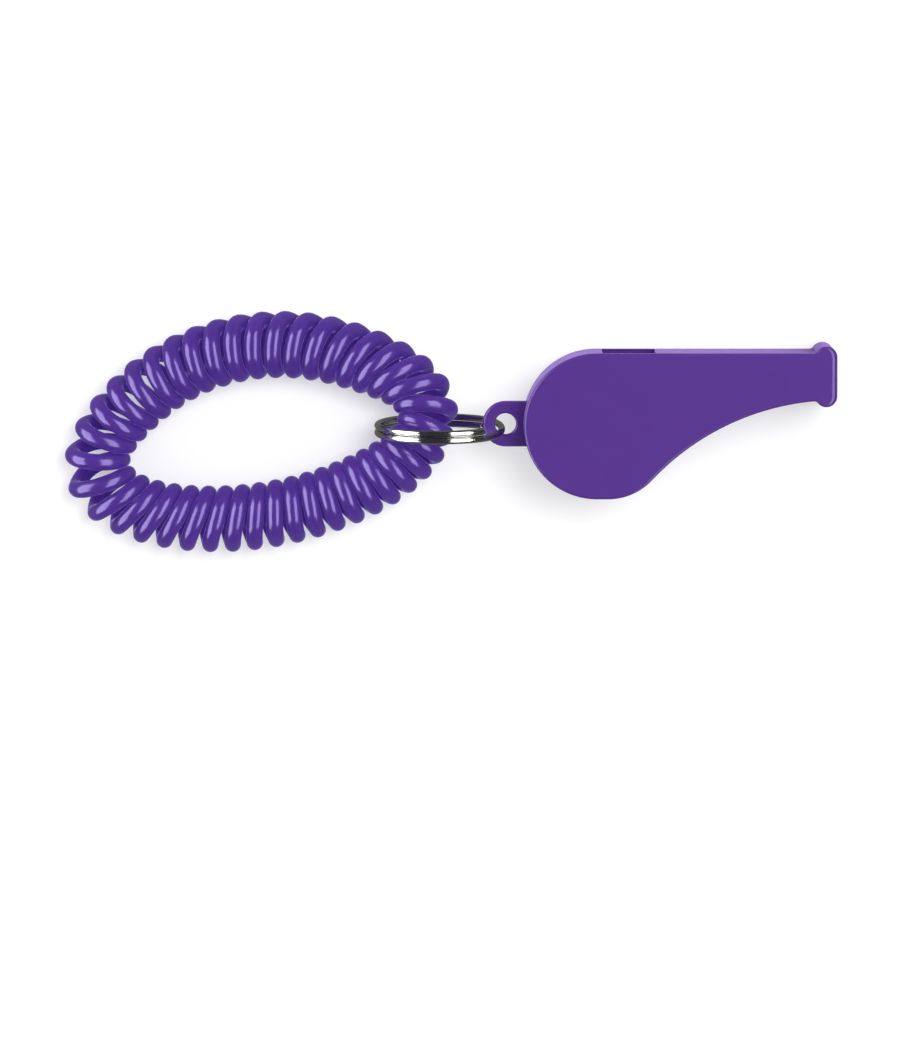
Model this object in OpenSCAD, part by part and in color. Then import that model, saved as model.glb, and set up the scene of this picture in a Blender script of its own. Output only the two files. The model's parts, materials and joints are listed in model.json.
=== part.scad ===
// Pea whistle with a side lug, a split ring and a coiled wrist band.
// It lies on its flat side: X runs along the whistle to the mouth, Y to its
// roof, Z up from the table. The origin is on the barrel's axis, on the face
// that it rests on.

/* [Whistle] */
// Outer diameter of the barrel
barrel_d = 24; // [18:0.5:32]
// Thickness of the whistle from side face to side face
whistle_w = 19; // [14:0.5:26]
// Wall round the barrel, roof and floor
wall_t = 1.5; // [1:0.1:2]
// Thickness of each flat side plate
plate_t = 1.5; // [1:0.1:2]
// Distance from the barrel's axis to the mouth end
mouth_reach = 39.5; // [34:0.5:50]
// Height of the neck at the mouth, without the bead
neck_h = 7.7; // [7:0.1:10]
// Radius of the belly's lower curve towards the neck
belly_r = 9.85; // [8:0.05:11]
// How far the belly's curve stands towards the mouth
belly_shift = 1.85; // [0.5:0.05:3]
// Radius of the bead round the mouthpiece
bead_r = 1.8; // [1.2:0.1:2.2]
// How far the bead stands proud of the neck
bead_rise = 1.15; // [0.5:0.05:1.6]

/* [Sound slot and windway] */
// Length of the slot in the roof
slot_l = 8.8; // [6:0.1:11]
// Where the slot starts, from the barrel's axis
slot_start = 0.95; // [0.5:0.05:3]
// Thickness of the sharp lip that the air strikes
lip_t = 0.4; // [0.2:0.05:0.8]
// Length of the bevel under the lip
lip_bevel = 2.5; // [1:0.1:4]
// Height of the windway where it meets the slot
windway_exit_h = 1.5; // [1:0.1:2.2]
// Height of the windway at the mouth
windway_mouth_h = 5.1; // [3.5:0.1:5.4]
// How far the windway's floor stops short of the slot's far end
floor_setback = 2.75; // [1:0.05:4]

/* [Cover pins] */
// Diameter of the two pins that line the cover up
pin_d = 1.6; // [1:0.1:2]
// Length of the pins below the cover
pin_l = 2; // [1:0.1:4]
// Clearance round and under the pins
pin_clearance = 0.05; // [0.02:0.01:0.15]

/* [Pea] */
// Diameter of the cork ball
pea_d = 10.6; // [8:0.1:12]
// Clearance between the ball and the chamber
pea_gap = 0.3; // [0.2:0.05:1]
// Where the ball lies round the chamber, in degrees
pea_angle = 215; // [150:5:240]

/* [Lug] */
// Distance from the barrel's axis to the lug's hole
lug_reach = 15; // [14:0.1:20]
// Radius of the lug's round end
lug_r = 3.75; // [3.5:0.05:5]
// Thickness of the lug
lug_t = 2.5; // [1.5:0.1:4]
// Diameter of the hole in the lug
lug_hole_d = 3.5; // [3:0.1:4.5]

/* [Split ring] */
// Outer diameter of the split ring
ring_od = 21.6; // [20:0.1:25]
// Diameter of the ring's wire
wire_d = 1.1; // [0.8:0.05:1.3]
// Gap between the two turns of wire
turn_gap = 0.06; // [0.04:0.01:0.3]
// Half of the arc where only the crossing wire runs, in degrees
cross_half = 45; // [30:1:60]
// Clearance between the wire and the side of the lug's hole
ring_clearance = 0.2; // [0.1:0.05:0.4]
// How low the wire lies in the lug's hole, as a share of its room there
drop_share = 0.68; // [0:0.02:0.9]
// Lean of the standing ring, in degrees
ring_lean = 5; // [0:1:8]

/* [Wrist coil] */
// Diameter of the plastic cord
cord_d = 2.6; // [2.2:0.1:2.8]
// Outer diameter of the coil's bundle of turns
bundle_d = 11.2; // [10.8:0.1:13]
// Half length of the oval loop along the bundle's centre
loop_a = 27.3; // [25:0.1:34]
// Half width of the oval loop along the bundle's centre
loop_b = 13.8; // [13:0.1:18]
// Number of pairs of turns
turn_pairs = 20; // [12:1:20]
// Turn of the oval in the plane of the table, in degrees
loop_turn = 10.7; // [0:0.1:15]
// Turn of each winding against the way out from the loop, in degrees
winding_skew = -0.6; // [-4:0.1:8]
// How far the top of each turn leans along the loop
turn_lean = 0.58; // [0:0.02:1]
// How far the tops of all turns lie to the oval's left
left_lean = 0.46; // [0:0.02:1]
// How far the tops of all turns lie to the oval's upper side
upper_lean = 0.18; // [0:0.02:1]
// How much the ring draws the bundle in
bundle_squeeze = 0.6; // [0:0.05:1]
// Length over which the ring draws the bundle in
squeeze_reach = 7; // [5:0.5:12]
// Length over which the bundle comes down from the ring to the table
lift_reach = 13; // [10:0.5:20]
// Gap kept between neighbouring turns at the inner side
turn_clearance = 0.42; // [0.41:0.01:0.6]

/* [Hidden] */
$fn = 96;
over = 1;

// Whistle outline
barrel_r = barrel_d / 2;
chamber_r = barrel_r - wall_t;
roof_y = barrel_r;
roof_in = roof_y - wall_t;
belly_y = belly_r - barrel_r;
neck_y = roof_y - neck_h;
bead_x = mouth_reach - bead_r;
bead_top = roof_y + bead_rise - bead_r;
bead_low = neck_y - bead_rise + bead_r;
// The throat is the arc that touches the belly and is level at the mouth
throat_dx = mouth_reach - belly_shift;
throat_dy = neck_y - belly_y;
throat_r = (throat_dx * throat_dx + throat_dy * throat_dy - belly_r * belly_r)
    / (2 * (throat_dy + belly_r));

// Slot and windway
slot_end = slot_start + slot_l;
floor_x = slot_end - floor_setback;
floor_y = roof_in - windway_exit_h;
mouth_floor_y = roof_in - windway_mouth_h;
function floor_at(x) = floor_y
    + (mouth_floor_y - floor_y) * (x - floor_x) / (mouth_reach - floor_x);
function throat_at(x) = neck_y - throat_r
    + sqrt(throat_r * throat_r - pow(mouth_reach - x, 2));

// Pins stand in the middle of the solid block under the windway
pin_shares = [0.37, 0.68];
function pin_x(share) = mouth_reach * share;
function pin_y(share) = (floor_at(pin_x(share)) + throat_at(pin_x(share))) / 2;

// Pea
orbit_r = chamber_r - pea_d / 2 - pea_gap;

// Ring: it stands on the table and its wire passes through the lug's hole
wire_r = wire_d / 2;
ring_r = ring_od / 2 - wire_r;
turn_off = (wire_d + turn_gap) / 2;
ring_z = ring_r * cos(ring_lean) + wire_r + turn_off * sin(ring_lean);
lug_z = whistle_w / 2;
lug_low = lug_z - lug_t / 2;
wire_room = lug_hole_d / 2 - wire_r - ring_clearance;
ring_drop = drop_share * wire_room;
cross_tilt = asin(turn_off / (ring_r * sin(cross_half)));
low_drop = ring_drop - lug_t / 2 * tan(ring_lean)
    - (ring_z - lug_low) * tan(cross_tilt);
wire_low_x = -lug_reach - sqrt(wire_room * wire_room - low_drop * low_drop);
ring_x = wire_low_x - sqrt(ring_r * ring_r - pow(ring_z - lug_low, 2));
ring_y = -(ring_z - lug_z) * tan(ring_lean) - ring_drop;
joint_ball_share = 1.03;

// Coil: windings round an oval, drawn up and in where the ring holds them
coil_turns = 2 * turn_pairs;
rings_per_turn = 8;
cord_sides = 6;
bundle_r = (bundle_d - cord_d) / 2;
stagger_share = 1.2;
spread_share = 0.855;
normal_share = 0.355;
// Waves on the plain oval and on the spacing: count, cosine and sine share
form_shares = [[2, 0, -0.008], [3, 0.005, -0.035], [4, 0.015, 0.003]];
spacing_shares = [[1, 0.05, -0.036], [2, 0.046, -0.038]];
first_turn_share = -0.2;
seat_share = 0.72;
seat_angle = 48;
cross_at = -15.7;
coil_room = ring_od / 2 - wire_d - bundle_d / 2 + bundle_squeeze;
cross_x = ring_x - seat_share * coil_room * cos(seat_angle);
cross_z = ring_z - seat_share * coil_room * sin(seat_angle);
cross_y = ring_y - (cross_z - ring_z) * tan(ring_lean);
table_steps = 720;
step_deg = 360 / table_steps;
probe_deg = 0.05;

function turned(p, deg) = [p[0] * cos(deg) - p[1] * sin(deg),
    p[0] * sin(deg) + p[1] * cos(deg)];
function unit(v) = v / norm(v);
function wrapped(deg) = deg - 360 * floor((deg + 180) / 360);
function waves(shares, t) = let (list = [for (w = shares)
    w[1] * cos(w[0] * t) + w[2] * sin(w[0] * t)]) 1 + list * [for (v = list) 1];
function oval(t) = waves(form_shares, t) * [loop_a * cos(t), loop_b * sin(t)];
function along(t) = unit(oval(t + probe_deg) - oval(t - probe_deg));
function out_angle(t) = t - winding_skew + normal_share
    * wrapped(atan2(loop_a * sin(t), loop_b * cos(t)) - t);
function out_dir(t) = [cos(out_angle(t)), sin(out_angle(t))];
function running(list) = [for (i = 0, s = 0; i <= len(list);
    s = s + (i < len(list) ? list[i] : 0), i = i + 1) s];

// Length along the oval, from its right end
arc_steps = [for (i = [0 : table_steps - 1])
    norm(oval((i + 1) * step_deg) - oval(i * step_deg))];
arc_sums = running(arc_steps);
arc_total = arc_sums[table_steps];
arc_table = [for (i = [0 : table_steps]) [i * step_deg, arc_sums[i]]];
function arc_at(t) = lookup(t - 360 * floor(t / 360), arc_table);
cross_arc = arc_at(cross_at);
function from_cross(t) = let (d = abs(arc_at(t) - cross_arc))
    min(d, arc_total - d);
function hump(d, reach) = exp(-pow(d / reach, 2));
function turn_r(t) = bundle_r - bundle_squeeze * hump(from_cross(t), squeeze_reach);

// Inner contour, which sets how closely the windings stand
function inner(t) = oval(t) - turn_r(t) * out_dir(t);
inner_steps = [for (i = [0 : table_steps - 1])
    norm(inner((i + 1) * step_deg) - inner(i * step_deg))];
inner_sums = running(inner_steps);
inner_total = inner_sums[table_steps];
place_sums = running([for (i = [0 : table_steps - 1])
    waves(spacing_shares, (2 * i + 1) * step_deg / 2)
    * ((1 - spread_share) * arc_steps[i] / arc_total
    + spread_share * inner_steps[i] / inner_total)]);
place_table = [for (i = [0 : table_steps])
    [place_sums[i] / place_sums[table_steps], i * step_deg]];
place_back = [for (p = place_table) [p[1], p[0]]];
cross_place = lookup(cross_at + 360, place_back);
function t_at(place) = lookup(place - floor(place), place_table);

// Distance between neighbouring turns at the inner side, and the sideways
// stagger that keeps them apart there
function inner_speed(t) = norm(inner(t + probe_deg) - inner(t - probe_deg))
    / (2 * probe_deg);
function inner_pitch(t) = inner_speed(t) * step_deg
    / (coil_turns * max(lookup(t - 360 * floor(t / 360) + step_deg / 2, place_back)
    - lookup(t - 360 * floor(t / 360) - step_deg / 2, place_back),
    1 / (table_steps * table_steps)));
function stagger(t) = stagger_share / 2
    * sqrt(max(0, pow(cord_d + turn_clearance, 2) - pow(inner_pitch(t), 2)));
widest_stagger = max([for (i = [1 : table_steps - 2]) stagger(i * step_deg)]);

bundle_z = bundle_d / 2 + widest_stagger / 2;
lift = cross_z - bundle_z;
function coil_raw(t, phi) = let (r = turn_r(t), p = oval(t) + r * cos(phi) * out_dir(t)
    + sin(phi) * (turn_lean * along(t) + [-left_lean, upper_lean]))
    [p[0], p[1], bundle_z + lift * hump(from_cross(t), lift_reach) + r * sin(phi)];
function coil_normal(t, phi) = unit(cross(
    coil_raw(t, phi + probe_deg) - coil_raw(t, phi - probe_deg),
    coil_raw(t + probe_deg, phi) - coil_raw(t - probe_deg, phi)));
function coil_local(t, phi, side) = coil_raw(t, phi)
    + side * stagger(t) * (1 - cos(phi)) / 2 * coil_normal(t, phi);
oval_shift = turned(oval(cross_at), loop_turn);
function coil_placed(p) = let (q = turned([p[0], p[1]], loop_turn))
    [q[0] + cross_x - oval_shift[0], q[1] + cross_y - oval_shift[1], p[2]];
ring_count = coil_turns * rings_per_turn;
function side_of(k) = floor(k / rings_per_turn) % 2 == 0 ? 1 : -1;
coil_t = [for (k = [0 : ring_count - 1])
    t_at(cross_place + (first_turn_share + k / rings_per_turn) / coil_turns)];
coil_path = [for (k = [0 : ring_count - 1])
    coil_placed(coil_local(coil_t[k], 360 * k / rings_per_turn, side_of(k)))];
coil_axis = [for (k = [0 : ring_count - 1]) let (c = oval(coil_t[k]))
    coil_placed([c[0], c[1],
    bundle_z + lift * hump(from_cross(coil_t[k]), lift_reach)])];
function path_dir(k) = unit(coil_path[(k + 1) % ring_count]
    - coil_path[(k + ring_count - 1) % ring_count]);
function side_dir(k) = let (d = path_dir(k), v = coil_path[k] - coil_axis[k])
    unit(v - (v * d) * d);
coil_points = [for (k = [0 : ring_count - 1])
    let (u = side_dir(k), v = cross(path_dir(k), u))
    for (j = [0 : cord_sides - 1])
    coil_path[k] + cord_d / 2
    * (cos(360 * j / cord_sides) * u + sin(360 * j / cord_sides) * v)];
coil_faces = [for (k = [0 : ring_count - 1], j = [0 : cord_sides - 1])
    let (a = k * cord_sides, b = (k + 1) % ring_count * cord_sides,
    m = (j + 1) % cord_sides)
    for (f = [[a + j, b + j, a + m], [a + m, b + j, b + m]]) f];

// Least gap between neighbouring turns, measured on the tube's own points
function ring_gap(k, m) = min([for (i = [0 : cord_sides - 1], j = [0 : cord_sides - 1])
    norm(coil_points[k * cord_sides + i]
    - coil_points[m % ring_count * cord_sides + j])]);
near_turn = [for (k = [0 : ring_count - 1]) for (s = [-2 : 2])
    ring_gap(k, k + rings_per_turn + s)];
echo(least_gap_between_turns = min(near_turn));
cord_steps = [for (k = [0 : ring_count - 1])
    norm(coil_path[(k + 1) % ring_count] - coil_path[k])];
cord_sums = running(cord_steps);
echo(loop_length = arc_total, cord_length = cord_sums[ring_count], turns = coil_turns);
echo(ring_centre = [ring_x, ring_y, ring_z]);
echo(coil_crossing = [cross_x, cross_y, cross_z], coil_lift = lift);

// Side view of the whole whistle, without the lug
module outline() {
    circle(r = barrel_r);
    translate([belly_shift, belly_y])
        circle(r = belly_r);
    translate([0, -barrel_r])
        square([belly_shift, barrel_r]);
    difference() {
        polygon([[0, 0], [0, roof_y], [bead_x, roof_y],
            [mouth_reach, neck_y - throat_r], [belly_shift, belly_y]]);
        translate([mouth_reach, neck_y - throat_r])
            circle(r = throat_r);
    }
    for (y = [bead_top, bead_low])
        translate([bead_x, y])
            circle(r = bead_r);
    translate([bead_x - bead_r, bead_low])
        square([2 * bead_r, bead_top - bead_low]);
}

// Chamber, slot and windway, open to the roof and the mouth
module hollow() {
    circle(r = chamber_r);
    polygon([
        [slot_start - lip_bevel, 0],
        [slot_start - lip_bevel, chamber_r - lip_t],
        [slot_start, roof_y - lip_t],
        [slot_start, roof_y + over],
        [slot_end, roof_y + over],
        [slot_end, roof_in],
        [mouth_reach + over, roof_in],
        [mouth_reach + over, floor_at(mouth_reach + over)],
        [floor_x, floor_y],
        [floor_x, 0]]);
}

module lug() {
    translate([-lug_reach, 0])
        circle(r = lug_r);
    translate([-lug_reach, -lug_r])
        square([lug_reach - barrel_r + wall_t / 2, 2 * lug_r]);
}

module body_shell() {
    color("rebeccapurple") {
        difference() {
            linear_extrude(whistle_w - plate_t)
                outline();
            translate([0, 0, plate_t])
                linear_extrude(whistle_w)
                    hollow();
            for (s = pin_shares)
                translate([pin_x(s), pin_y(s),
                    whistle_w - plate_t - pin_l - pin_clearance])
                    cylinder(d = pin_d + 2 * pin_clearance, h = pin_l + over);
        }
        difference() {
            translate([0, 0, lug_low])
                linear_extrude(lug_t)
                    lug();
            translate([-lug_reach, 0, lug_low - over])
                cylinder(d = lug_hole_d, h = lug_t + 2 * over);
        }
    }
}

module side_cover() {
    color("rebeccapurple") {
        translate([0, 0, whistle_w - plate_t])
            linear_extrude(plate_t)
                outline();
        for (s = pin_shares)
            translate([pin_x(s), pin_y(s), whistle_w - plate_t - pin_l])
                cylinder(d = pin_d, h = pin_l + plate_t / 2);
    }
}

module pea_ball() {
    color("burlywood")
        translate([orbit_r * cos(pea_angle), orbit_r * sin(pea_angle),
            plate_t + pea_gap + pea_d / 2])
            sphere(d = pea_d);
}

module wire_arc(from, sweep) {
    rotate([0, 0, from])
        rotate_extrude(angle = sweep)
            translate([ring_r, 0])
                circle(r = wire_r);
}

// One wire in two turns, joined by a crossing stretch that runs through the lug
module split_ring() {
    color("silver")
        translate([ring_x, ring_y, ring_z])
            rotate([90 + ring_lean, 0, 0]) {
                for (side = [-1, 1]) {
                    translate([0, 0, side * turn_off])
                        wire_arc(cross_half, 360 - 2 * cross_half);
                    rotate([0, 0, side * cross_half])
                        translate([ring_r, 0, side * turn_off])
                            sphere(r = wire_r * joint_ball_share);
                }
                rotate([cross_tilt, 0, 0])
                    wire_arc(-cross_half, 2 * cross_half);
            }
}

module wrist_coil() {
    color("mediumpurple")
        polyhedron(points = coil_points, faces = coil_faces);
}

body_shell();
side_cover();
pea_ball();
split_ring();
wrist_coil();
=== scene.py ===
import bisect
import bmesh
import bpy
import json
import math
import random
from mathutils import Euler, Matrix, Vector


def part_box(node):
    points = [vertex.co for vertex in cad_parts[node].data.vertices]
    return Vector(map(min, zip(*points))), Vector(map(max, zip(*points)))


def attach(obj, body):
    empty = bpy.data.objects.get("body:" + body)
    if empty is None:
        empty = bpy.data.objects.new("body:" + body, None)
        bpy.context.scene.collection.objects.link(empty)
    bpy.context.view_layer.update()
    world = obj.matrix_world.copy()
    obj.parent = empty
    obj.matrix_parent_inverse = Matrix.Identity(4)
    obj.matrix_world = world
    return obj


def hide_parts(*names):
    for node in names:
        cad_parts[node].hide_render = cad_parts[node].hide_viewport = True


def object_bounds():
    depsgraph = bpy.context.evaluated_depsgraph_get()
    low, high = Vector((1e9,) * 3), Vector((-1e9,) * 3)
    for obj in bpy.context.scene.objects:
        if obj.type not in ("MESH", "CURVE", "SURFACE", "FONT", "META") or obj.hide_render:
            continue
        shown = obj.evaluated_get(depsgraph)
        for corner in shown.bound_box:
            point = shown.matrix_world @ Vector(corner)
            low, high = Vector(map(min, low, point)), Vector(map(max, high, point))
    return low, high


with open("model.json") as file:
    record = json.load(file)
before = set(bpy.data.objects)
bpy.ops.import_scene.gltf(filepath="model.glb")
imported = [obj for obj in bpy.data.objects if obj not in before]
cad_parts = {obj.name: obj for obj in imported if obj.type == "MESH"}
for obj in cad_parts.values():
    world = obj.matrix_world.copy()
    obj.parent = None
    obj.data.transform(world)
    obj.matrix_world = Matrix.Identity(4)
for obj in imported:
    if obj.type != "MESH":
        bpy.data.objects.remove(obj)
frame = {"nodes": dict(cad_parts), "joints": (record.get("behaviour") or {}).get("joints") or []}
cadLow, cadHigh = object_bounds()
mm = 0.001
joints = {joint["name"]: joint for joint in frame["joints"]}
print("frame loaded:", len(frame["nodes"]), "nodes")


def addObject(name, data):
    thing = bpy.data.objects.new(name, data)
    bpy.context.scene.collection.objects.link(thing)
    return thing


# Camera: a long lens over the whistle, leaning a little towards its roof
cameraSetup = {
    "photoWidth": 900,
    "photoHeight": 1055,
    "pixelSize": 0.1644,  # mm on the near side face
    "axisPixel": (597, 426.5),  # the barrel's axis in the photograph
    "distance": 1500,
    "lean": 3.7,  # degrees
    "sensor": 36,
    "clip": (0.01, 20),  # metres
}


def makeCamera(setup):
    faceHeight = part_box("side_cover")[1].z
    column, row = setup["axisPixel"]
    size = setup["pixelSize"]
    aim = Vector((
        (setup["photoWidth"] / 2 - column) * size * mm,
        (row - setup["photoHeight"] / 2) * size * mm,
        faceHeight,
    ))
    data = bpy.data.cameras.new("camera")
    data.sensor_width = setup["sensor"]
    viewHeight = setup["photoHeight"] * size
    data.lens = setup["sensor"] * setup["distance"] / viewHeight
    data.clip_start, data.clip_end = setup["clip"]
    camera = addObject("camera", data)
    lean = math.radians(setup["lean"])
    back = Vector((0, math.sin(lean), math.cos(lean)))
    camera.location = aim + back * setup["distance"] * mm
    camera.rotation_euler = Euler((-lean, 0, 0))
    bpy.context.scene.camera = camera


makeCamera(cameraSetup)
print("camera placed")


# Mesh helpers, in millimetres
def newPiece(name, points, faces, smooth=True):
    mesh = bpy.data.meshes.new(name)
    mesh.from_pydata([Vector(p) * mm for p in points], [], faces)
    mesh.validate()
    if smooth:
        mesh.shade_smooth()
    return addObject(name, mesh)


def bandFaces(rows, sides, closed=False):
    # Faces between rows of points, each row a loop of that many sides
    faces = []
    for i in range(rows if closed else rows - 1):
        a = i * sides
        b = (i + 1) % rows * sides
        for j in range(sides):
            k = (j + 1) % sides
            faces.append((a + j, a + k, b + k, b + j))
    return faces


def capFaces(rows, sides):
    return tuple(reversed(range(sides))), tuple(range((rows - 1) * sides, rows * sides))


def pressed(offset, walls):
    # Flattened where it would go past a wall; a wall is the vector that reaches it
    for wall in walls:
        reach = wall.length
        facing = wall / reach
        over = offset.dot(facing) - reach
        if over > 0:
            offset = offset - over * facing
    return offset


def tube(name, path, outward, sides, section, closed, walls=None):
    # A section swept along a path, with its first side turned outward
    count = len(path)
    points = []
    for i, centre in enumerate(path):
        before = path[i - 1] if closed or i > 0 else path[0]
        after = path[(i + 1) % count] if closed or i < count - 1 else path[-1]
        along = (after - before).normalized()
        side = (outward[i] - outward[i].dot(along) * along).normalized()
        up = along.cross(side)
        for j in range(sides):
            across, over = section(math.tau * j / sides)
            offset = across * side + over * up
            points.append(centre + (pressed(offset, walls[i]) if walls else offset))
    faces = bandFaces(count, sides, closed)
    if not closed:
        faces += capFaces(count, sides)
    return newPiece(name, points, faces)


# Wrist coil: turns of cord round a leaning oval, held up where the ring passes
coilSize = {
    "cord": 2.76,
    "bundle": 11.2,
    "loopHalfLength": 27.25,
    "loopHalfWidth": 13.79,
    "turns": 40,
    "loopTurn": 10.7,  # degrees in the plane of the table
    "windingSkew": -0.6,  # degrees
    "turnLean": 0.58,  # of the turns' tops, along the loop
    "topLean": (-0.46, 0.18, 0),  # of the turns' tops, in the oval's own axes
    # Of the lower halves alone, back along the loop: degrees round the oval, and the lean there
    "lowerLeans": [(0, 0.4), (16, 0.5), (30, 1.9), (45, 2.4), (70, 2.2), (90, 1.9), (115, 1.7),
                   (124, 0.9), (133, -0.1), (145, -0.4), (160, 0.1), (178, 0.9), (200, 1.0),
                   (225, 0.6), (270, 0.3), (360, 0.4)],
    "lowerTwist": 0.3,
    # Of the outer ends, which straightens them on the near side of the loop
    "tipLean": 0.35,
    "tipLeanShares": [(1, 0.0, -1.0)],
    "squeeze": 0.6,  # of the turns inside the ring
    "squeezeReach": 7,
    "liftReach": 13,
    "contactGap": 0.02,  # between turns that press on each other
    "searchShare": 0.2,  # of a turn, where the nearest point of the next turn is looked for
    "spreadShare": 0.855,  # of the spacing that follows the inner side, not the oval
    "normalShare": 0.355,  # of the way from angle t to the oval's own normal
    # Waves on the plain oval and on the spacing: count, cosine and sine share
    "formShares": [(2, 0, -0.008), (3, 0.005, -0.035), (4, 0.015, 0.003)],
    "spacingShares": [(1, 0.05, -0.036), (2, 0.046, -0.038)],
    "firstTurnShare": -0.2,  # of a turn, from the ring
    # The place in the ring: degrees round the oval, and where on the wire it rests
    "crossAt": -15.7,
    "seatShare": 0.72,
    "seatAngle": 48,  # degrees
    "ringDiameter": 21.6,
    "ringWire": 1.1,
    "ringsPerTurn": 48,
    "sides": 20,
    "tableSteps": 720,
    "slopeStep": 0.001,  # radians
}


def lookUp(value, keys, values):
    # Straight between the two nearest keys
    if value <= keys[0]:
        return values[0]
    if value >= keys[-1]:
        return values[-1]
    i = bisect.bisect_right(keys, value)
    share = (value - keys[i - 1]) / (keys[i] - keys[i - 1])
    return values[i - 1] + share * (values[i] - values[i - 1])


def waves(shares, t):
    return 1 + sum(c * math.cos(n * t) + s * math.sin(n * t) for n, c, s in shares)


class CoilRoute:
    # Angle t goes round the oval, and angle phi round one turn of the cord
    def __init__(self, size, ringCentre, ringNormal):
        self.size = size
        self.bundleRadius = (size["bundle"] - size["cord"]) / 2
        self.leanAngles, self.leans = zip(*size["lowerLeans"])
        steps = size["tableSteps"]
        self.angles = [math.tau * i / steps for i in range(steps + 1)]
        self.arcSums = self.runningLength(self.oval)
        self.arcTotal = self.arcSums[-1]
        self.crossAngle = math.radians(size["crossAt"])
        self.crossArc = self.arcAt(self.crossAngle)
        self.places = self.spreadTurns()
        x, y, z = self.crossing(ringCentre, ringNormal)
        self.lift = z - size["bundle"] / 2
        self.turned = Matrix.Rotation(math.radians(size["loopTurn"]), 3, "Z")
        unmoved = self.turned @ self.oval(self.crossAngle)
        self.shift = Vector((x - unmoved.x, y - unmoved.y, 0))

    def oval(self, t):
        wave = waves(self.size["formShares"], t)
        return Vector((
            wave * self.size["loopHalfLength"] * math.cos(t),
            wave * self.size["loopHalfWidth"] * math.sin(t),
            0,
        ))

    def along(self, t):
        step = self.size["slopeStep"]
        return (self.oval(t + step) - self.oval(t - step)).normalized()

    def runningLength(self, place):
        sums = [0]
        for a, b in zip(self.angles, self.angles[1:]):
            sums.append(sums[-1] + (place(b) - place(a)).length)
        return sums

    def arcAt(self, t):
        return lookUp(t % math.tau, self.angles, self.arcSums)

    def spreadTurns(self):
        # The share of the turns up to each angle, by the oval's length and the inner side's
        innerSums = self.runningLength(self.inner)
        spread = self.size["spreadShare"]
        places = [0]
        for i in range(self.size["tableSteps"]):
            middle = (self.angles[i] + self.angles[i + 1]) / 2
            outer = (self.arcSums[i + 1] - self.arcSums[i]) / self.arcTotal
            inner = (innerSums[i + 1] - innerSums[i]) / innerSums[-1]
            weight = waves(self.size["spacingShares"], middle)
            places.append(places[-1] + weight * ((1 - spread) * outer + spread * inner))
        return [place / places[-1] for place in places]

    def crossing(self, ringCentre, ringNormal):
        # Where the middle of the bundle passes through the ring
        size = self.size
        room = size["ringDiameter"] / 2 - size["ringWire"] - size["bundle"] / 2 + size["squeeze"]
        seat = math.radians(size["seatAngle"])
        drop = size["seatShare"] * room
        x = ringCentre.x - drop * math.cos(seat)
        y = ringCentre.y + drop * math.sin(seat) * ringNormal.z / ringNormal.y
        z = ringCentre.z - drop * math.sin(seat)
        return x, y, z

    def hump(self, t, reach):
        gap = abs(self.arcAt(t) - self.crossArc)
        gap = min(gap, self.arcTotal - gap)
        return math.exp(-((gap / reach) ** 2))

    def turnRadius(self, t):
        return self.bundleRadius - self.size["squeeze"] * self.hump(t, self.size["squeezeReach"])

    def outDirection(self, t):
        # Angle t itself, turned part of the way to the oval's own normal
        a = self.size["loopHalfLength"]
        b = self.size["loopHalfWidth"]
        square = math.atan2(a * math.sin(t), b * math.cos(t)) - t
        square = (square + math.pi) % math.tau - math.pi
        angle = t - math.radians(self.size["windingSkew"]) + self.size["normalShare"] * square
        return Vector((math.cos(angle), math.sin(angle), 0))

    def inner(self, t):
        return self.oval(t) - self.turnRadius(t) * self.outDirection(t)

    def angleAt(self, place):
        return lookUp(place % 1, self.places, self.angles)

    def axis(self, t):
        height = self.size["bundle"] / 2 + self.lift * self.hump(t, self.size["liftReach"])
        return self.oval(t) + Vector((0, 0, height))

    def cordMiddle(self, t, phi):
        size = self.size
        around = math.cos(phi) * self.outDirection(t) + Vector((0, 0, math.sin(phi)))
        lean = size["turnLean"] * self.along(t) + Vector(size["topLean"])
        low = min(math.sin(phi), 0)
        back = lookUp(math.degrees(t) % 360, self.leanAngles, self.leans) * low**2
        back += size["lowerTwist"] * low * math.sin(2 * phi)
        back += (size["tipLean"] * waves(size["tipLeanShares"], t)
                 * math.sin(phi) * (1 + math.cos(phi)) / 2)
        leant = math.sin(phi) * lean - back * self.along(t)
        return self.axis(t) + self.turnRadius(t) * around + leant

    def placed(self, point):
        return self.turned @ point + self.shift

    def route(self):
        perTurn = self.size["ringsPerTurn"]
        count = self.size["turns"] * perTurn
        start = lookUp(self.crossAngle % math.tau, self.angles, self.places)
        start += self.size["firstTurnShare"] / self.size["turns"]
        path = []
        outward = []
        for k in range(count):
            t = self.angleAt(start + k / count)
            phi = math.tau * k / perTurn
            centre = self.placed(self.cordMiddle(t, phi))
            path.append(centre)
            outward.append(centre - self.placed(self.axis(t)))
        return path, outward


def contactWalls(path, size):
    # For each ring of the cord, half of the way to the turn before and the turn after
    perTurn = size["ringsPerTurn"]
    count = len(path)
    window = int(size["searchShare"] * perTurn)
    walls = []
    for i, centre in enumerate(path):
        pair = []
        for turn in (-perTurn, perTurn):
            nearby = [path[(i + turn + j) % count] - centre for j in range(-window, window + 1)]
            gap = min(nearby, key=lambda step: step.length)
            pair.append(gap * (0.5 - size["contactGap"] / 2 / gap.length))
        walls.append(pair)
    return walls


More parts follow.
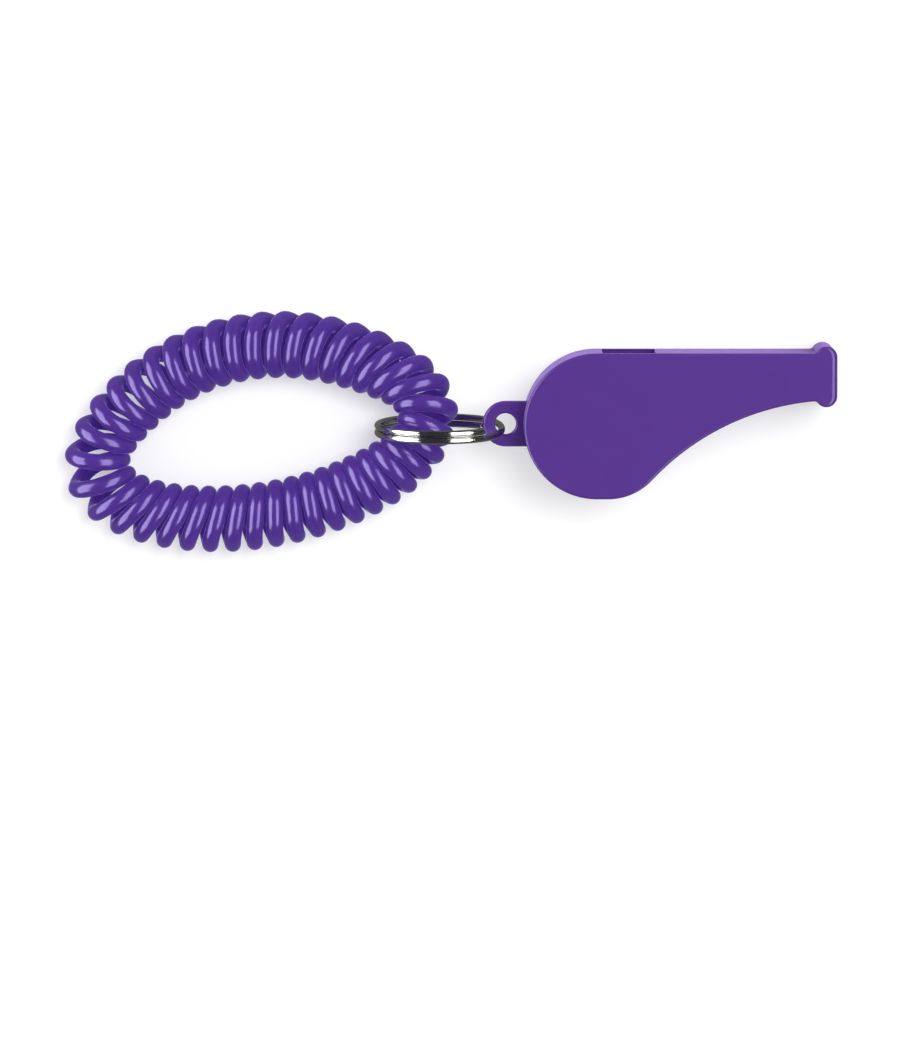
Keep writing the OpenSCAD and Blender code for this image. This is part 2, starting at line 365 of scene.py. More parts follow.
def makeCoil(size):
    swing = joints["coil_swing"]
    ringCentre = Vector(swing["pos_m"]) / mm
    ringNormal = Vector(swing["axis"]).normalized()
    path, outward = CoilRoute(size, ringCentre, ringNormal).route()
    half = size["cord"] / 2

    def section(angle):
        return half * math.cos(angle), half * math.sin(angle)

    coil = tube("wristCoil", path, outward, size["sides"], section, closed=True,
                walls=contactWalls(path, size))
    closing = path + [path[0]]
    length = sum((b - a).length for a, b in zip(closing, closing[1:])) * mm
    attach(coil, "coil")
    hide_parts("wrist_coil")
    return coil, length


wristCoil, coilLength = makeCoil(coilSize)
print("wrist coil wound:", round(coilLength, 3), "m of cord")


# Split ring: one wire, twice round, with a crossing stretch through the lug
ringSize = {
    "diameter": 21.6,
    "wire": 1.1,
    "turnGap": 0.06,
    "crossHalf": 45,  # degrees, half of the crossing stretch
    "degreesPerStep": 1.5,
    "sides": 24,
    "squareness": 2.1,  # 2 is a round wire
    "endRound": 0.16,
    "endSegments": 3,
    "endAngle": 60,  # degrees, and only sharper edges are rounded
    "sharpAngle": 50,  # degrees, and sharper edges aren't shaded smooth
}


def makeRing(size):
    swing = joints["coil_swing"]
    centre = Vector(swing["pos_m"]) / mm
    normal = -Vector(swing["axis"]).normalized()
    right = Vector((1, 0, 0))
    up = normal.cross(right).normalized()
    wireRadius = size["wire"] / 2
    radius = size["diameter"] / 2 - wireRadius
    offset = (size["wire"] + size["turnGap"]) / 2
    start = size["crossHalf"]
    sweep = 2 * 360 - 2 * start
    steps = round(sweep / size["degreesPerStep"])

    def section(angle):
        power = 2 / size["squareness"]
        c = math.cos(angle)
        s = math.sin(angle)
        return (
            wireRadius * math.copysign(abs(c) ** power, c),
            wireRadius * math.copysign(abs(s) ** power, s),
        )

    path = []
    outward = []
    for i in range(steps + 1):
        degrees = start + sweep * i / steps
        a = math.radians(degrees)
        crossing = min(max((degrees - 360) / start, -1), 1)
        side = math.sin(crossing * math.pi / 2)
        out = math.cos(a) * right + math.sin(a) * up
        path.append(centre + radius * out + offset * side * normal)
        outward.append(out)
    ring = tube("splitRing", path, outward, size["sides"], section, closed=False)
    bevel = ring.modifiers.new("cutEnds", "BEVEL")
    bevel.width = size["endRound"] * mm
    bevel.segments = size["endSegments"]
    bevel.limit_method = "ANGLE"
    bevel.angle_limit = math.radians(size["endAngle"])
    ring.data.set_sharp_from_angle(angle=math.radians(size["sharpAngle"]))
    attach(ring, "ring")
    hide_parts("split_ring")
    return ring


splitRing = makeRing(ringSize)
print("split ring bent")


# Whistle: its outline has the same values as the solids
whistleSize = {
    "barrelDiameter": 24,
    "wall": 1.5,
    "plate": 1.5,
    "mouthReach": 39.5,
    "neckHeight": 7.7,
    "bellyRadius": 9.85,
    "bellyShift": 1.85,
    "beadRadius": 1.8,
    "beadRise": 1.15,
    "notchFillet": 0.7,  # where the bead meets the throat and the roof
    "slotLength": 8.8,
    "slotStart": 0.95,
    "lip": 0.4,
    "lipBevel": 2.5,
    "windwayExit": 1.5,
    "windwayMouth": 5.1,
    "floorSetback": 2.75,
    "edgeRound": 0.45,
    "mouthRound": 0.95,  # at the very end of the mouthpiece
    "seamRound": 0.08,
    "innerRound": 0.14,  # of the edges inside the chamber, slot and windway
    "innerSegments": 3,
    "innerAngle": 40,  # degrees, and only sharper edges are rounded
    "toolRound": 0.001,  # the cutting tools keep sharp edges
    "arcStep": 1.5,  # degrees
    "roundSteps": 8,
    "overrun": 1,  # of the cutting tools, past what they cut
    "sharpAngle": 38,  # degrees, and sharper edges aren't shaded smooth
    "samePoint": 0.001,  # points closer than this are one
}
lugSize = {
    "reach": 15,
    "radius": 3.75,
    "thickness": 2.5,
    "hole": 3.5,
    "edgeRound": 0.5,
    "holeRound": 0.35,
    "holeSides": 72,
    "rootInset": 0.8,
}


def arc(centre, radius, first, last, stepDegrees):
    count = max(2, math.ceil(abs(last - first) / stepDegrees))
    angles = [math.radians(first + (last - first) * i / count) for i in range(count + 1)]
    return [(centre[0] + radius * math.cos(a), centre[1] + radius * math.sin(a)) for a in angles]


def angleTo(centre, point):
    return math.degrees(math.atan2(point[1] - centre[1], point[0] - centre[0]))


def circlesMeet(a, radiusA, b, radiusB, side):
    # Two circles cross at two points, and side picks one of them
    gap = math.dist(a, b)
    along = (radiusA**2 - radiusB**2 + gap**2) / (2 * gap)
    across = side * math.sqrt(radiusA**2 - along**2)
    ux, uy = (b[0] - a[0]) / gap, (b[1] - a[1]) / gap
    return a[0] + along * ux - across * uy, a[1] + along * uy + across * ux


def towards(a, b, distance):
    gap = math.dist(a, b)
    return a[0] + (b[0] - a[0]) * distance / gap, a[1] + (b[1] - a[1]) * distance / gap


def joined(samePoint, *runs):
    # One closed outline, without the points that two runs share
    points = []
    for run in runs:
        for p in run:
            if not points or math.dist(points[-1], p) > samePoint:
                points.append(p)
    if math.dist(points[0], points[-1]) <= samePoint:
        points.pop()
    return points


def whistleOutline(size):
    barrelStep = size["arcStep"]
    beadStep = 2 * size["arcStep"]
    filletStep = 4 * size["arcStep"]
    barrel = size["barrelDiameter"] / 2
    bellyRadius = size["bellyRadius"]
    beadRadius = size["beadRadius"]
    belly = (size["bellyShift"], bellyRadius - barrel)
    neck = barrel - size["neckHeight"]
    dx = size["mouthReach"] - belly[0]
    dy = neck - belly[1]
    throatRadius = (dx * dx + dy * dy - bellyRadius**2) / (2 * (dy + bellyRadius))
    throat = (size["mouthReach"], neck - throatRadius)
    beadX = size["mouthReach"] - beadRadius
    beadTop = (beadX, barrel + size["beadRise"] - beadRadius)
    beadLow = (beadX, neck - size["beadRise"] + beadRadius)
    fillet = size["notchFillet"]
    reach = beadRadius + fillet
    lowNotch = circlesMeet(beadLow, reach, throat, throatRadius - fillet, -1)
    topNotchY = barrel + fillet
    topNotch = (beadX - math.sqrt(reach**2 - (topNotchY - beadTop[1]) ** 2), topNotchY)
    lowOnThroat = towards(throat, lowNotch, throatRadius)
    lowOnBead = towards(beadLow, lowNotch, beadRadius)
    topOnBead = towards(beadTop, topNotch, beadRadius)
    bend = angleTo(belly, throat)
    lowFirst = angleTo(lowNotch, lowOnThroat)
    lowLast = angleTo(lowNotch, lowOnBead)
    return joined(
        size["samePoint"],
        arc((0, 0), barrel, 90, 270, barrelStep),
        arc(belly, bellyRadius, 270, 360 + bend, barrelStep),
        arc(throat, throatRadius, 180 + bend, angleTo(throat, lowOnThroat), barrelStep),
        arc(lowNotch, fillet, lowFirst, lowLast, filletStep),
        arc(beadLow, beadRadius, angleTo(beadLow, lowOnBead) % 360, 360, beadStep),
        arc(beadTop, beadRadius, 0, angleTo(beadTop, topOnBead), beadStep),
        arc(topNotch, fillet, angleTo(topNotch, topOnBead), -90, filletStep),
    )


def inwardNormals(outline):
    normals = []
    count = len(outline)
    for i in range(count):
        ax, ay = outline[i - 1]
        bx, by = outline[i]
        cx, cy = outline[(i + 1) % count]
        first = Vector((ay - by, bx - ax)).normalized()
        last = Vector((by - cy, cx - bx)).normalized()
        normals.append((first + last).normalized())
    return normals


def edgeRounds(size, outline):
    # The face's edge is rounder where the mouthpiece ends
    rounds = []
    for x, y in outline:
        share = (x - size["mouthReach"] + size["beadRadius"]) / size["beadRadius"]
        share = min(max(share, 0), 1)
        share = share * share * (3 - 2 * share)
        rounds.append(size["edgeRound"] + share * (size["mouthRound"] - size["edgeRound"]))
    return rounds


def quarterTurn(steps):
    return [math.pi / 2 * i / steps for i in range(steps + 1)]


def roundedPrism(name, outline, low, high, lowRound, highRound, steps):
    # Each rounding is one radius, or a list with one for each point
    normals = inwardNormals(outline)
    count = len(outline)
    lowRounds = lowRound if isinstance(lowRound, list) else [lowRound] * count
    highRounds = highRound if isinstance(highRound, list) else [highRound] * count
    points = []
    for a in quarterTurn(steps):
        for (x, y), n, r in zip(outline, normals, lowRounds):
            inset = r * (1 - math.sin(a))
            points.append((x + inset * n.x, y + inset * n.y, low + r * (1 - math.cos(a))))
    for a in quarterTurn(steps):
        for (x, y), n, r in zip(outline, normals, highRounds):
            inset = r * (1 - math.cos(a))
            points.append((x + inset * n.x, y + inset * n.y, high - r * (1 - math.sin(a))))
    rows = 2 * (steps + 1)
    lowCap, highCap = capFaces(rows, count)
    return newPiece(name, points, [lowCap] + bandFaces(rows, count) + [highCap], smooth=False)


def applyModifiers(piece):
    graph = bpy.context.evaluated_depsgraph_get()
    graph.update()
    made = bpy.data.meshes.new_from_object(piece.evaluated_get(graph))
    piece.modifiers.clear()
    old = piece.data
    piece.data = made
    made.name = piece.name
    bpy.data.meshes.remove(old)


def cutOrJoin(piece, tool, operation):
    change = piece.modifiers.new(operation, "BOOLEAN")
    change.operation = operation
    change.solver = "EXACT"
    change.object = tool
    applyModifiers(piece)
    bpy.data.objects.remove(tool)


def softenEdges(piece, size):
    bevel = piece.modifiers.new("softEdges", "BEVEL")
    bevel.width = size["innerRound"] * mm
    bevel.segments = size["innerSegments"]
    bevel.limit_method = "ANGLE"
    bevel.angle_limit = math.radians(size["innerAngle"])
    bevel.miter_outer = "MITER_ARC"
    applyModifiers(piece)


def shadeEvenly(piece, size):
    piece.data.shade_smooth()
    piece.data.set_sharp_from_angle(angle=math.radians(size["sharpAngle"]))
    weights = piece.modifiers.new("evenNormals", "WEIGHTED_NORMAL")
    weights.keep_sharp = True
    applyModifiers(piece)


def hollowTools(size, low, high):
    barrel = size["barrelDiameter"] / 2
    inner = barrel - size["wall"]
    slotStart = size["slotStart"]
    slotEnd = slotStart + size["slotLength"]
    floorX = slotEnd - size["floorSetback"]
    mouth = size["mouthReach"] + size["overrun"]
    top = barrel + size["overrun"]
    # The windway's floor slopes down from its exit to the mouth
    exitY = inner - size["windwayExit"]
    mouthY = inner - size["windwayMouth"]
    drop = (mouthY - exitY) * (mouth - floorX) / (size["mouthReach"] - floorX)
    windway = [
        (slotStart - size["lipBevel"], 0),
        (floorX, 0),
        (floorX, exitY),
        (mouth, exitY + drop),
        (mouth, inner),
        (slotEnd, inner),
        (slotEnd, top),
        (slotStart, top),
        (slotStart, barrel - size["lip"]),
        (slotStart - size["lipBevel"], inner - size["lip"]),
    ]
    chamber = arc((0, 0), inner, 0, 360, size["arcStep"])[:-1]
    sharp = size["toolRound"]
    return [
        roundedPrism("chamberTool", chamber, low, high, sharp, sharp, 1),
        roundedPrism("windwayTool", windway, low, high, sharp, sharp, 1),
    ]


def makeLug(size, whistle, middle):
    root = size["rootInset"] - whistle["barrelDiameter"] / 2
    steps = whistle["roundSteps"]
    outline = joined(
        whistle["samePoint"],
        arc((-size["reach"], 0), size["radius"], 90, 270, 2 * whistle["arcStep"]),
        [(root, -size["radius"]), (root, size["radius"])],
    )
    low = middle - size["thickness"] / 2
    high = middle + size["thickness"] / 2
    lug = roundedPrism("lugTool", outline, low, high, size["edgeRound"], size["edgeRound"], steps)
    # The hole's tool flares at both faces, which rounds the hole's edges
    radius = size["hole"] / 2
    flare = size["holeRound"]
    rows = [(radius + flare, low - whistle["overrun"])]
    for a in quarterTurn(steps):
        rows.append((radius + flare * (1 - math.sin(a)), low + flare * (1 - math.cos(a))))
    rows += [(r, 2 * middle - z) for r, z in reversed(rows)]
    sides = size["holeSides"]
    points = []
    for r, z in rows:
        for i in range(sides):
            a = math.tau * i / sides
            points.append((-size["reach"] + r * math.cos(a), r * math.sin(a), z))
    lowCap, highCap = capFaces(len(rows), sides)
    faces = [lowCap] + bandFaces(len(rows), sides) + [highCap]
    cutOrJoin(lug, newPiece("holeTool", points, faces, smooth=False), "DIFFERENCE")
    return lug


def makeBody(size, lug):
    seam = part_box("side_cover")[1].z / mm - size["plate"]
    outline = whistleOutline(size)
    body = roundedPrism("bodyShell", outline, 0, seam, edgeRounds(size, outline),
                        size["seamRound"], size["roundSteps"])
    for tool in hollowTools(size, size["plate"], seam + size["overrun"]):
        cutOrJoin(body, tool, "DIFFERENCE")
    softenEdges(body, size)
    middle = (seam + size["plate"]) / 2
    cutOrJoin(body, makeLug(lug, size, middle), "UNION")
    shadeEvenly(body, size)
    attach(body, "whistle")
    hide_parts("body_shell")
    return body


def makeCover(size):
    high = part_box("side_cover")[1].z / mm
    outline = whistleOutline(size)
    cover = roundedPrism("sideCover", outline, high - size["plate"], high, size["seamRound"],
                         edgeRounds(size, outline), size["roundSteps"])
    shadeEvenly(cover, size)
    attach(cover, "whistle")
    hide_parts("side_cover")
    return cover


bodyShell = makeBody(whistleSize, lugSize)
print("body shell moulded:", len(bodyShell.data.polygons), "faces")
sideCover = makeCover(whistleSize)
print("side cover moulded")


# Pea: a cork ball with small pits
peaSize = {
    "subdivisions": 6,
    "pits": 160,
    "pitDepth": 0.12,
    "pitSize": 0.9,
    "smallestPit": 0.4,  # as a share of the largest
    "shrink": 0.13,
    "seed": 7,
}


def makePea(size):
    low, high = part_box("pea_ball")
    centre = (low + high) / 2 / mm
    radius = (high.x - low.x) / 2 / mm - size["shrink"]
    ball = bmesh.new()
    bmesh.ops.create_icosphere(ball, subdivisions=size["subdivisions"], radius=radius)
    chance = random.Random(size["seed"])
    pits = []
    for i in range(size["pits"]):
        direction = Vector((chance.gauss(0, 1), chance.gauss(0, 1), chance.gauss(0, 1)))
        pits.append((direction.normalized() * radius, chance.uniform(size["smallestPit"], 1)))
    for vert in ball.verts:
        depth = 0
        for place, share in pits:
            gap = (vert.co - place).length / (size["pitSize"] * share)
            if gap < 1:
                depth = max(depth, size["pitDepth"] * share * (1 - gap * gap) ** 2)
        vert.co = (vert.co * (1 - depth / radius) + centre) * mm
    mesh = bpy.data.meshes.new("peaBall")
    ball.to_mesh(mesh)
    ball.free()
    mesh.shade_smooth()
    pea = addObject("peaBall", mesh)
    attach(pea, "pea")
    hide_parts("pea_ball")
    return pea


peaBall = makePea(peaSize)
print("cork pea rolled")


# Shader helpers: a value may be a number, a colour or another node's output
mixSockets = {"mask": 0, "first": 6, "second": 7, "result": 2}  # a Mix node's, for colours


def feed(tree, value, socket):
    if isinstance(value, (int, float)):
        socket.default_value = value
    elif isinstance(value, tuple):
        socket.default_value = (*value, 1)
    else:
        tree.links.new(value, socket)


def addNode(tree, kind, settings=None, values=None):
    node = tree.nodes.new(kind)
    for key, value in (settings or {}).items():
        setattr(node, key, value)
    for key, value in (values or {}).items():
        node.inputs[key].default_value = value
    return node


def noise(tree, vector, scale, detail, roughness=0.5):
    node = addNode(tree, "ShaderNodeTexNoise", None, {"Detail": detail, "Roughness": roughness})
    feed(tree, vector, node.inputs["Vector"])
    feed(tree, scale, node.inputs["Scale"])
    return node.outputs["Fac"]


def calculate(tree, operation, first, second):
    node = addNode(tree, "ShaderNodeMath", {"operation": operation})
    feed(tree, first, node.inputs[0])
    feed(tree, second, node.inputs[1])
    return node.outputs["Value"]


def spreadRange(tree, value, fromRange, toRange=(0.0, 1.0)):
    node = addNode(tree, "ShaderNodeMapRange")
    feed(tree, value, node.inputs["Value"])
    names = ("From Min", "From Max", "To Min", "To Max")
    for name, number in zip(names, (*fromRange, *toRange)):
        feed(tree, number, node.inputs[name])
    return node.outputs["Result"]


def blendColours(tree, mask, first, second):
    node = addNode(tree, "ShaderNodeMix", {"data_type": "RGBA"})
    feed(tree, mask, node.inputs[mixSockets["mask"]])
    feed(tree, first, node.inputs[mixSockets["first"]])
    feed(tree, second, node.inputs[mixSockets["second"]])
    return node.outputs[mixSockets["result"]]


# Shader groups that several materials share
def newGroup(name, inputs, outputs):
    group = bpy.data.node_groups.new(name, "ShaderNodeTree")
    for socketName, kind, value in inputs:
        socket = group.interface.new_socket(socketName, in_out="INPUT", socket_type=kind)
        if value is not None:
            socket.default_value = value
    for socketName, kind in outputs:
        group.interface.new_socket(socketName, in_out="OUTPUT", socket_type=kind)
    return group, group.nodes.new("NodeGroupInput"), group.nodes.new("NodeGroupOutput")


grainLook = {
    "grainScale": 2600.0,
    "mottleScale": 160.0,
    "fineDetail": 2.0,
    "broadDetail": 3.0,
    "fineShare": 0.7,
    "broadShare": 0.3,
}


def makeMouldedGrain(look):
    # A fine orange-peel height and a soft mottle, as on moulded plastic
    group, given, out = newGroup(
        "mouldedGrain",
        [("Vector", "NodeSocketVector", None),
         ("Grain Scale", "NodeSocketFloat", look["grainScale"]),
         ("Mottle Scale", "NodeSocketFloat", look["mottleScale"])],
        [("Height", "NodeSocketFloat"), ("Mottle", "NodeSocketFloat")],
    )
    place = given.outputs["Vector"]
    fine = noise(group, place, given.outputs["Grain Scale"], look["fineDetail"])
    broad = noise(group, place, given.outputs["Mottle Scale"], look["broadDetail"])
    height = calculate(group, "ADD", calculate(group, "MULTIPLY", fine, look["fineShare"]),
                       calculate(group, "MULTIPLY", broad, look["broadShare"]))
    group.links.new(height, out.inputs["Height"])
    group.links.new(broad, out.inputs["Mottle"])
    return group


marksLook = {
    "scale": 1900.0,
    "amount": 0.5,
    # Each layer of scratches is turned, tilted and drawn out into thin lines
    "turns": (0.35, -0.9, 1.7),  # radians
    "tiltPerTurn": 0.2,
    "tilt": 0.3,
    "stretch": (1, 60, 6),
    "lineDetail": 1.0,
    "lineRange": (0.66, 0.7),
    "patchScale": 90.0,
    "patchDetail": 2.0,
    "patchRange": (0.45, 0.65),
}


def makeHandlingMarks(look):
    # Thin crossing scratches that show in patches
    group, given, out = newGroup(
        "handlingMarks",
        [("Vector", "NodeSocketVector", None),
         ("Scale", "NodeSocketFloat", look["scale"]),
         ("Amount", "NodeSocketFloat", look["amount"])],
        [("Mask", "NodeSocketFloat")],
    )
    place = given.outputs["Vector"]
    lines = []
    for turn in look["turns"]:
        spun = addNode(group, "ShaderNodeMapping", {"vector_type": "TEXTURE"}, {
            "Rotation": (look["tiltPerTurn"] * turn, look["tilt"], turn),
            "Scale": look["stretch"],
        })
        group.links.new(place, spun.inputs["Vector"])
        streak = noise(group, spun.outputs["Vector"], given.outputs["Scale"], look["lineDetail"])
        lines.append(spreadRange(group, streak, look["lineRange"]))
    first, second, third = lines
    crossed = calculate(group, "MAXIMUM", first, calculate(group, "MAXIMUM", second, third))
    patch = noise(group, place, look["patchScale"], look["patchDetail"])
    where = spreadRange(group, patch, look["patchRange"], (0.0, given.outputs["Amount"]))
    group.links.new(calculate(group, "MULTIPLY", crossed, where), out.inputs["Mask"])
    return group


mouldedGrain = makeMouldedGrain(grainLook)
handlingMarks = makeHandlingMarks(marksLook)


# Material helpers
def newMaterial(name, settings):
    material = bpy.data.materials.new(name)
    material.use_nodes = True
    tree = material.node_tree
    shader = tree.nodes["Principled BSDF"]
    for key, value in settings.items():
        shader.inputs[key].default_value = value
    return material, tree, shader


def surfacePlace(tree):
    return addNode(tree, "ShaderNodeTexCoord").outputs["Object"]


def useGroup(tree, group, place, values):
    node = addNode(tree, "ShaderNodeGroup", {"node_tree": group}, values)
    tree.links.new(place, node.inputs["Vector"])
    return node


def laySurface(tree, shader, look):
    # A mottled colour, and a roughness that follows the mottle and the marks
    place = surfacePlace(tree)
    grain = useGroup(tree, mouldedGrain, place, look["grain"])
    marks = useGroup(tree, handlingMarks, place, look["marks"]).outputs["Mask"]
    mottle = grain.outputs["Mottle"]
    shade = spreadRange(tree, mottle, look["mottleRange"])
    colour = blendColours(tree, shade, look["colour"], look["deepColour"])
    rough = spreadRange(tree, mottle, look["roughMottle"], look["roughness"])
    scratched = calculate(tree, "MULTIPLY", marks, look["markRoughness"])
    tree.links.new(calculate(tree, "ADD", rough, scratched), shader.inputs["Roughness"])
    return colour, grain.outputs["Height"], marks


def addBump(tree, shader, height, look):
    bump = addNode(tree, "ShaderNodeBump", None,
                   {"Strength": look["bumpStrength"], "Distance": look["bumpDepth"]})
    tree.links.new(height, bump.inputs["Height"])
    tree.links.new(bump.outputs["Normal"], shader.inputs["Normal"])


bodyLook = {
    "shader": {
        "IOR": 1.5,
        "Specular IOR Level": 0.5,
        "Specular Tint": (0.86, 0.78, 1.0, 1),
        "Sheen Weight": 1.0,
        "Sheen Roughness": 0.12,
        "Sheen Tint": (0.56, 0.36, 1.0, 1),
    },
    "colour": (0.080, 0.027, 0.234),
    "deepColour": (0.075, 0.025, 0.222),
    "markColour": (0.098, 0.042, 0.26),
    "grain": {"Grain Scale": 2400.0},
    "marks": {"Scale": 5200.0, "Amount": 0.12},
    "mottleRange": (0.35, 0.65),  # of the mottle, from colour to deepColour
    "roughMottle": (0.3, 0.7),  # of the mottle, from the first roughness to the second
    "roughness": (0.215, 0.255),
    "markRoughness": 0.1,
    "markDepth": 0.4,
    "bumpStrength": 0.6,
    "bumpDepth": 0.000012,  # metres
}


def makeBodyPlastic(look):
    material, tree, shader = newMaterial("bodyPlastic", look["shader"])
    base, height, marks = laySurface(tree, shader, look)
    worn = blendColours(tree, marks, base, look["markColour"])
    tree.links.new(worn, shader.inputs["Base Color"])
    dents = calculate(tree, "MULTIPLY", marks, look["markDepth"])
    addBump(tree, shader, calculate(tree, "SUBTRACT", height, dents), look)
    return material


coilLook = {
    "shader": {
        "IOR": 1.5,
        "Specular IOR Level": 1.0,
        "Specular Tint": (0.64, 0.52, 1.0, 1),
        "Sheen Weight": 1.0,
        "Sheen Roughness": 0.2,
        "Sheen Tint": (0.5, 0.36, 1.0, 1),
        "Subsurface Weight": 0.6,
        "Subsurface Radius": (0.6, 0.35, 1.0),
        "Subsurface Scale": 0.0025,
        "Emission Color": (0.027, 0.009, 0.105, 1),  # painted glow that lightens the cord's shaded turns and creases, standing in for light through the cord
        "Emission Strength": 1.0,
    },
    "colour": (0.053, 0.021, 0.165),
    "deepColour": (0.045, 0.017, 0.147),
    "grain": {"Grain Scale": 1500.0, "Mottle Scale": 260.0},
    "marks": {"Scale": 2400.0, "Amount": 0.35},
    "mottleRange": (0.35, 0.65),
    "roughMottle": (0.3, 0.7),
    "roughness": (0.17, 0.24),
    "markRoughness": 0.06,
    "bumpStrength": 0.5,
    "bumpDepth": 0.00001,
}


def makeCoilPlastic(look):
    material, tree, shader = newMaterial("coilPlastic", look["shader"])
    base, height, _ = laySurface(tree, shader, look)
    tree.links.new(base, shader.inputs["Base Color"])
    addBump(tree, shader, height, look)
    return material


ringLook = {
    "shader": {"Metallic": 1.0},
    "colour": (0.60, 0.60, 0.57),
    "deepColour": (0.42, 0.42, 0.39),
    "grain": {"Grain Scale": 1800.0, "Mottle Scale": 420.0},
    "marks": {"Scale": 3600.0, "Amount": 0.8},
    "mottleRange": (0.4, 0.7),
    "roughMottle": (0.3, 0.7),
    "roughness": (0.07, 0.16),
    "markRoughness": 0.2,
    "bumpStrength": 0.4,
    "bumpDepth": 0.000006,
}


def makeRingSteel(look):
    material, tree, shader = newMaterial("ringSteel", look["shader"])
    base, _, marks = laySurface(tree, shader, look)
    tree.links.new(base, shader.inputs["Base Color"])
    addBump(tree, shader, marks, look)
    return material


corkLook = {
    "shader": {"Roughness": 0.85, "Specular IOR Level": 0.25},
    "colour": (0.50, 0.31, 0.15),
    "paleColour": (0.64, 0.44, 0.25),
    "darkColour": (0.16, 0.08, 0.035),
    "cellScale": 1400.0,
    "patches": {"scale": 420.0, "detail": 4.0, "roughness": 0.6},
    "patchRange": (0.4, 0.62),
    "specks": {"scale": 900.0, "detail": 3.0, "roughness": 0.7},
    "speckRange": (0.6, 0.68),
    "bumpStrength": 0.7,
    "bumpDepth": 0.0001,
}


def makeCork(look):
    material, tree, shader = newMaterial("corkGrain", look["shader"])
    place = surfacePlace(tree)
    cells = addNode(tree, "ShaderNodeTexVoronoi", None, {"Scale": look["cellScale"]})
    tree.links.new(place, cells.inputs["Vector"])
    pale = spreadRange(tree, noise(tree, place, **look["patches"]), look["patchRange"])
    base = blendColours(tree, pale, look["colour"], look["paleColour"])
    dark = spreadRange(tree, noise(tree, place, **look["specks"]), look["speckRange"])
    speckled = blendColours(tree, dark, base, look["darkColour"])
    tree.links.new(speckled, shader.inputs["Base Color"])
    addBump(tree, shader, calculate(tree, "SUBTRACT", cells.outputs["Distance"], dark), look)
    return material


def dress(piece, material):
    piece.data.materials.clear()
    piece.data.materials.append(material)


bodyPlastic = makeBodyPlastic(bodyLook)
dress(bodyShell, bodyPlastic)
dress(sideCover, bodyPlastic)
dress(wristCoil, makeCoilPlastic(coilLook))
dress(splitRing, makeRingSteel(ringLook))
dress(peaBall, makeCork(corkLook))
print("materials laid on")


# Studio: a white table, soft light from above, and two tall boxes for the streaks
studio = {
    "tableHalf": 3,  # metres
    "tableDrop": 0.05,  # mm under the part
    "tableShader": {
        "Base Color": (0.62, 0.62, 0.61, 1),
        "Roughness": 0.9,
        "Specular IOR Level": 0.0,
        "Emission Color": (1, 1, 1, 1),
        "Emission Strength": 0.42,  # as on a light table
    },
    "tableInReflections": (0.16, 0.165, 0.15, 1),
    # Suns: strength, degrees across, and where the light comes from
    "suns": {
        "key": (1.6, 26, (0.26, 0.2, 1.0)),
        "roofLight": (1.7, 30, (-0.85, 1.0, 0.07)),
    },
    "sunDistance": 1,
    # Boxes: degrees from the zenith towards the mouth end, width in metres, watts
    "boxes": {
        "leftBox": (-65, 0.56, 9.5),
        "rightBox": (40, 0.42, 6.5),
    },
    "boxDistance": 0.6,
    "boxLength": 1.0,
    "boxTilt": 0.02,  # towards the roof
    # Room: bright for the camera, soft as fill, dim in reflections
    "seenGlow": 1.0,
    "fillGlow": 0.72,
    "glossGlow": 0.05,
    "glossColour": (0.9, 0.95, 0.9, 1),
}


def mixShaders(tree, mask, first, second):
    mix = addNode(tree, "ShaderNodeMixShader")
    tree.links.new(mask, mix.inputs[0])
    tree.links.new(first.outputs[0], mix.inputs[1])
    tree.links.new(second.outputs[0], mix.inputs[2])
    return mix


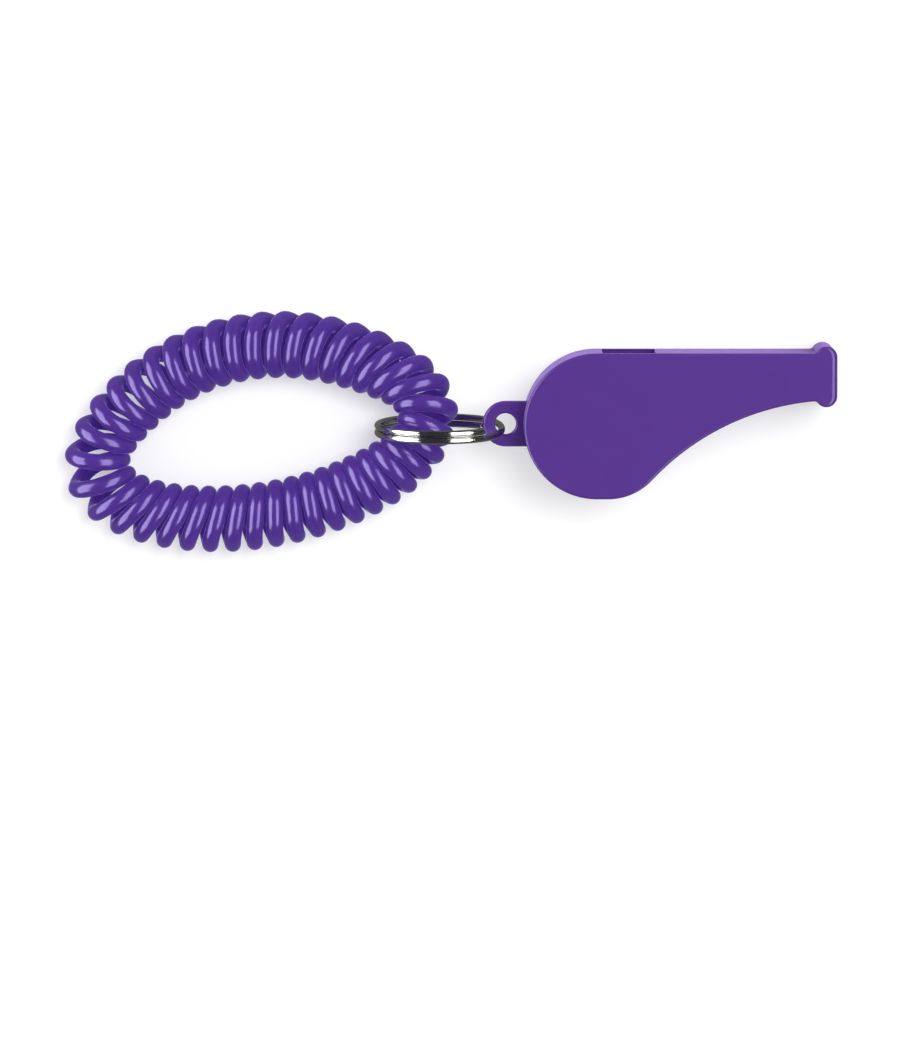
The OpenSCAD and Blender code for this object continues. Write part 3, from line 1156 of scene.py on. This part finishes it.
def makeTable(setup):
    half = setup["tableHalf"] / mm
    z = -setup["tableDrop"]
    corners = [(-half, -half, z), (half, -half, z), (half, half, z), (-half, half, z)]
    table = newPiece("table", corners, [(0, 1, 2, 3)], smooth=False)
    material, tree, shader = newMaterial("whiteTable", setup["tableShader"])
    # Reflections see a dimmer table, as in a room with dark walls
    dim = addNode(tree, "ShaderNodeEmission", None, {"Color": setup["tableInReflections"]})
    ray = addNode(tree, "ShaderNodeLightPath")
    mixed = mixShaders(tree, ray.outputs["Is Glossy Ray"], shader, dim)
    tree.links.new(mixed.outputs[0], tree.nodes["Material Output"].inputs["Surface"])
    dress(table, material)


def addLight(name, kind, direction, distance):
    light = addObject(name, bpy.data.lights.new(name, kind))
    target = Vector(((cadLow.x + cadHigh.x) / 2, (cadLow.y + cadHigh.y) / 2, 0))
    place = Vector(direction).normalized()
    light.location = target + place * distance
    light.rotation_euler = place.to_track_quat("Z", "Y").to_euler()
    return light


def makeLights(setup):
    for name, (strength, softness, direction) in setup["suns"].items():
        sun = addLight(name, "SUN", direction, setup["sunDistance"])
        sun.data.energy = strength
        sun.data.angle = math.radians(softness)
        sun.visible_glossy = False
    for name, (degrees, width, power) in setup["boxes"].items():
        angle = math.radians(degrees)
        direction = (math.sin(angle), setup["boxTilt"], math.cos(angle))
        box = addLight(name, "AREA", direction, setup["boxDistance"])
        box.data.shape = "RECTANGLE"
        box.data.size = setup["boxLength"]
        box.data.size_y = width
        box.data.energy = power
        box.visible_diffuse = False


def makeRoom(setup):
    world = bpy.data.worlds.new("room")
    bpy.context.scene.world = world
    world.use_nodes = True
    world.cycles.sampling_method = "NONE"  # the room is even, so nothing in it is aimed at
    tree = world.node_tree
    gloss = tree.nodes["Background"]
    gloss.inputs["Color"].default_value = setup["glossColour"]
    gloss.inputs["Strength"].default_value = setup["glossGlow"]
    white = {"Color": (1, 1, 1, 1)}
    fill = addNode(tree, "ShaderNodeBackground", None, {**white, "Strength": setup["fillGlow"]})
    seen = addNode(tree, "ShaderNodeBackground", None, {**white, "Strength": setup["seenGlow"]})
    ray = addNode(tree, "ShaderNodeLightPath")
    unseen = mixShaders(tree, ray.outputs["Is Diffuse Ray"], gloss, fill)
    room = mixShaders(tree, ray.outputs["Is Camera Ray"], unseen, seen)
    tree.links.new(room.outputs[0], tree.nodes["World Output"].inputs["Surface"])


makeTable(studio)
makeLights(studio)
makeRoom(studio)
bpy.context.scene.view_settings.view_transform = "Standard"
print("studio lit")
